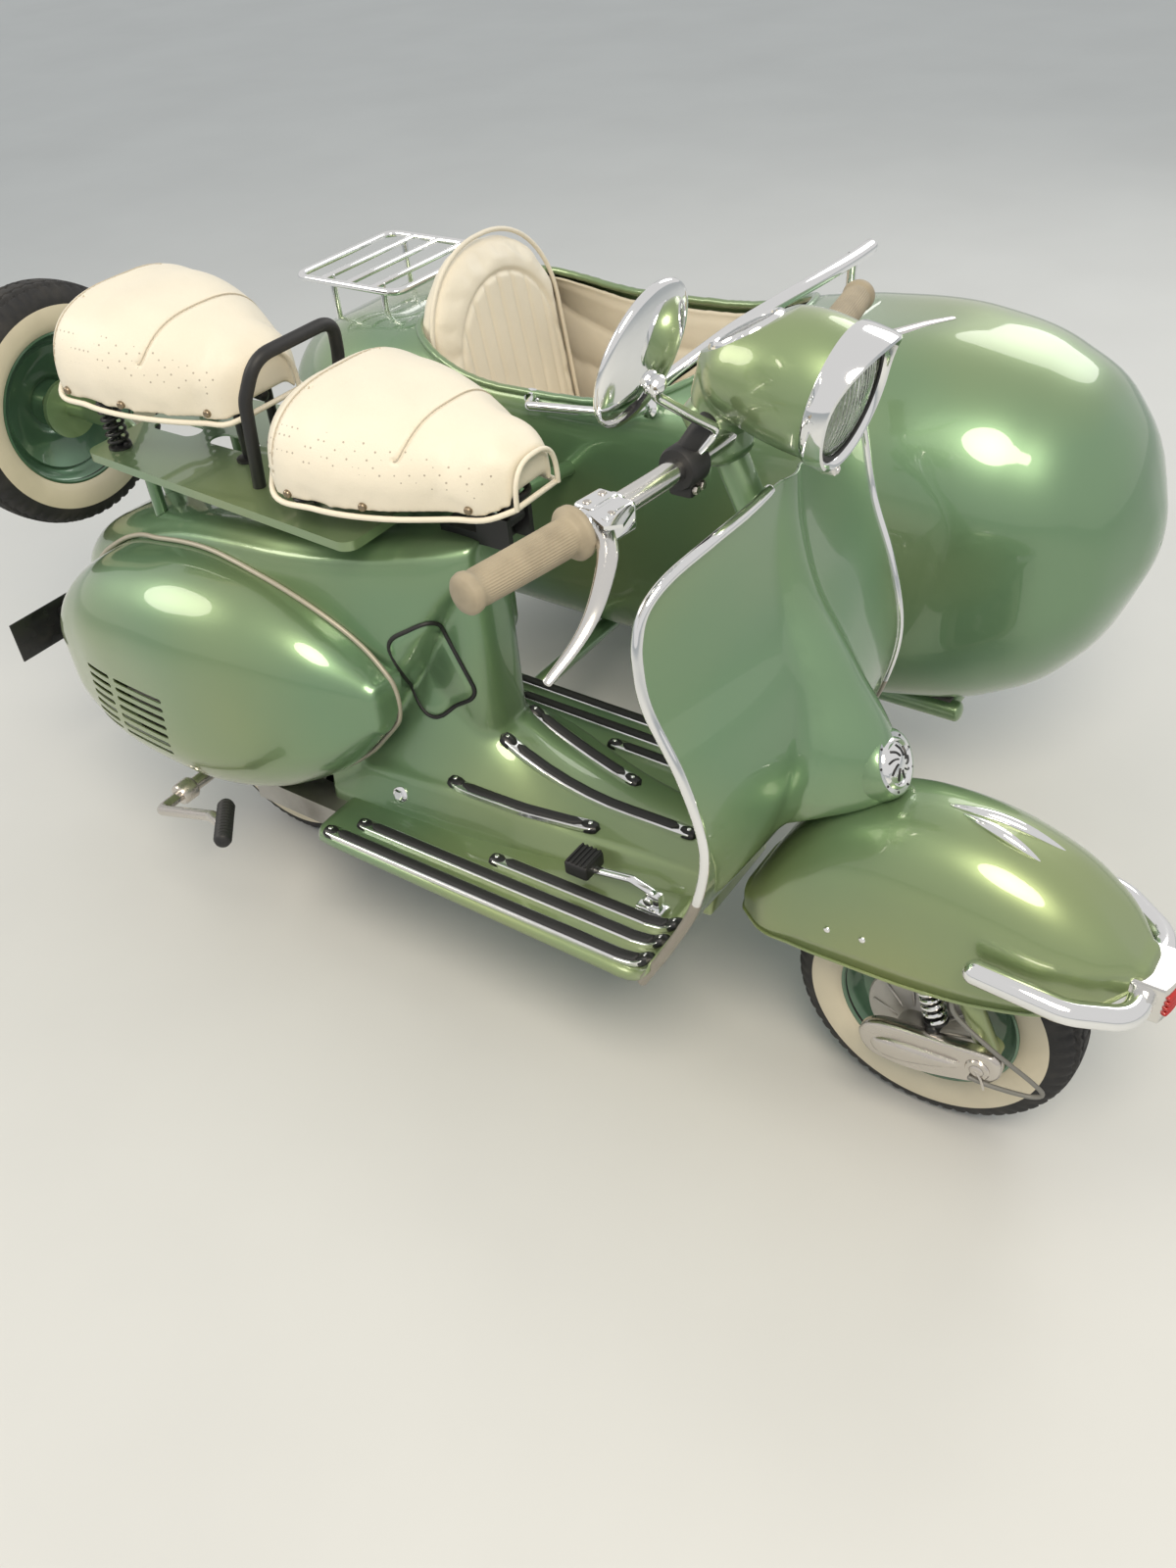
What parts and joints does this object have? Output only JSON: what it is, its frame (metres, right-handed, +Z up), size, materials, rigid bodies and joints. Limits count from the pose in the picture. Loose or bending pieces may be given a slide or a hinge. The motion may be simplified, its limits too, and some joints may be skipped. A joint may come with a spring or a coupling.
{
  "type": "motor scooter with sidecar",
  "caption": "Step-through motor scooter in metallic green with pressed-steel body, two leather saddles, spare wheel and a bullet-shaped one-seat sidecar.",
  "frame": {"origin": "on the ground, below the middle of the outfit's bounding box", "axes": "+X forward, +Y to the rider's left, +Z up"},
  "size_m": [1.867, 1.4279, 1.1125],
  "materials": {
    "green_paint": "light metallic sage green with a clear coat",
    "rim_paint": "gloss green",
    "trim_chrome": "polished plating",
    "runner_aluminium": "bright anodised",
    "bar_aluminium": "polished",
    "black_rubber": "matte",
    "grip_rubber": "tan, moulded",
    "tyre_rubber": "black with a cream sidewall band",
    "engine_casting": "sand cast",
    "dark_steel": "black enamel",
    "link_steel": "plated",
    "plate_black": "satin black",
    "cream_leather": "grained and stitched",
    "lamp_glass": "ribbed",
    "red_plastic": "gloss",
    "cable_sheath": "matte",
    "seat_wood": "plain board"
  },
  "bodies": {
    "root": {"leg_shield": "green_paint", "rear_body": "green_paint", "floor_pan": "green_paint", "engine_cowl": "green_paint", "left_cowl": "green_paint", "access_cover": "green_paint", "rear_rack": "green_paint", "tail_lamp": "green_paint", "sidecar_hull": "green_paint", "sidecar_mudguard": "green_paint", "sidecar_chassis": "green_paint", "shield_bead": "trim_chrome", "horn_grille": "trim_chrome", "floor_runners": "runner_aluminium", "runner_rubbers": "black_rubber", "engine": "engine_casting", "rear_shock": "dark_steel", "kick_lever": "dark_steel", "brake_pedal": "engine_casting", "number_plate": "plate_black", "spare_rim": "rim_paint", "spare_tyre": "tyre_rubber", "pillion_frame": "dark_steel", "saddle_bracket": "dark_steel", "pillion_cover": "cream_leather", "grab_loop": "black_rubber", "fuel_cap": "trim_chrome", "stand_bracket": "dark_steel", "sidecar_backrest": "cream_leather", "sidecar_cushion": "cream_leather", "sidecar_seat_base": "seat_wood", "sidecar_rail": "trim_chrome", "side_handle": "trim_chrome", "luggage_rack": "trim_chrome"},
    "saddle": {"saddle_frame": "dark_steel", "saddle_cover": "cream_leather"},
    "steering": {"steering_column": "green_paint", "handlebar": "bar_aluminium", "hand_grips": "grip_rubber", "brake_levers": "bar_aluminium", "lamp_pod": "green_paint", "lamp_rim": "trim_chrome", "lamp_lens": "lamp_glass", "mirror": "trim_chrome", "front_mudguard": "green_paint", "mudguard_crest": "trim_chrome", "bumper": "trim_chrome", "bumper_insert": "red_plastic", "front_link": "link_steel", "front_spring": "trim_chrome", "brake_plate": "engine_casting", "brake_cable": "cable_sheath"},
    "front_wheel": {"front_rim": "rim_paint", "front_tyre": "tyre_rubber"},
    "rear_wheel": {"rear_rim": "rim_paint", "rear_tyre": "tyre_rubber"},
    "sidecar_wheel": {"sidecar_rim": "rim_paint", "sidecar_tyre": "tyre_rubber"},
    "stand": {"centre_stand": "dark_steel"}
  },
  "joints": [
    {"name": "steering", "type": "hinge", "parent": "root", "child": "steering", "pos_m": [0.48922, -0.314, 0.6], "axis": [-0.4226, 0, 0.9063], "range_deg": [-38, 38]},
    {"name": "front_wheel_spin", "type": "hinge", "parent": "steering", "child": "front_wheel", "pos_m": [0.663, -0.314, 0.188], "axis": [0, 1, 0], "continuous": true},
    {"name": "rear_wheel_spin", "type": "hinge", "parent": "root", "child": "rear_wheel", "pos_m": [-0.493, -0.314, 0.188], "axis": [0, 1, 0], "continuous": true},
    {"name": "sidecar_wheel_spin", "type": "hinge", "parent": "root", "child": "sidecar_wheel", "pos_m": [-0.363, 0.654, 0.188], "axis": [0, 1, 0], "continuous": true},
    {"name": "saddle_tilt", "type": "hinge", "parent": "root", "child": "saddle", "pos_m": [0.047, -0.314, 0.724], "axis": [0, 1, 0], "range_deg": [0, 60]},
    {"name": "stand_fold", "type": "hinge", "parent": "root", "child": "stand", "pos_m": [-0.073, -0.314, 0.236], "axis": [0, 1, 0], "range_deg": [-88, 0], "stiffness_Nm_per_rad": 6, "springref_deg": 68.75}
  ]
}
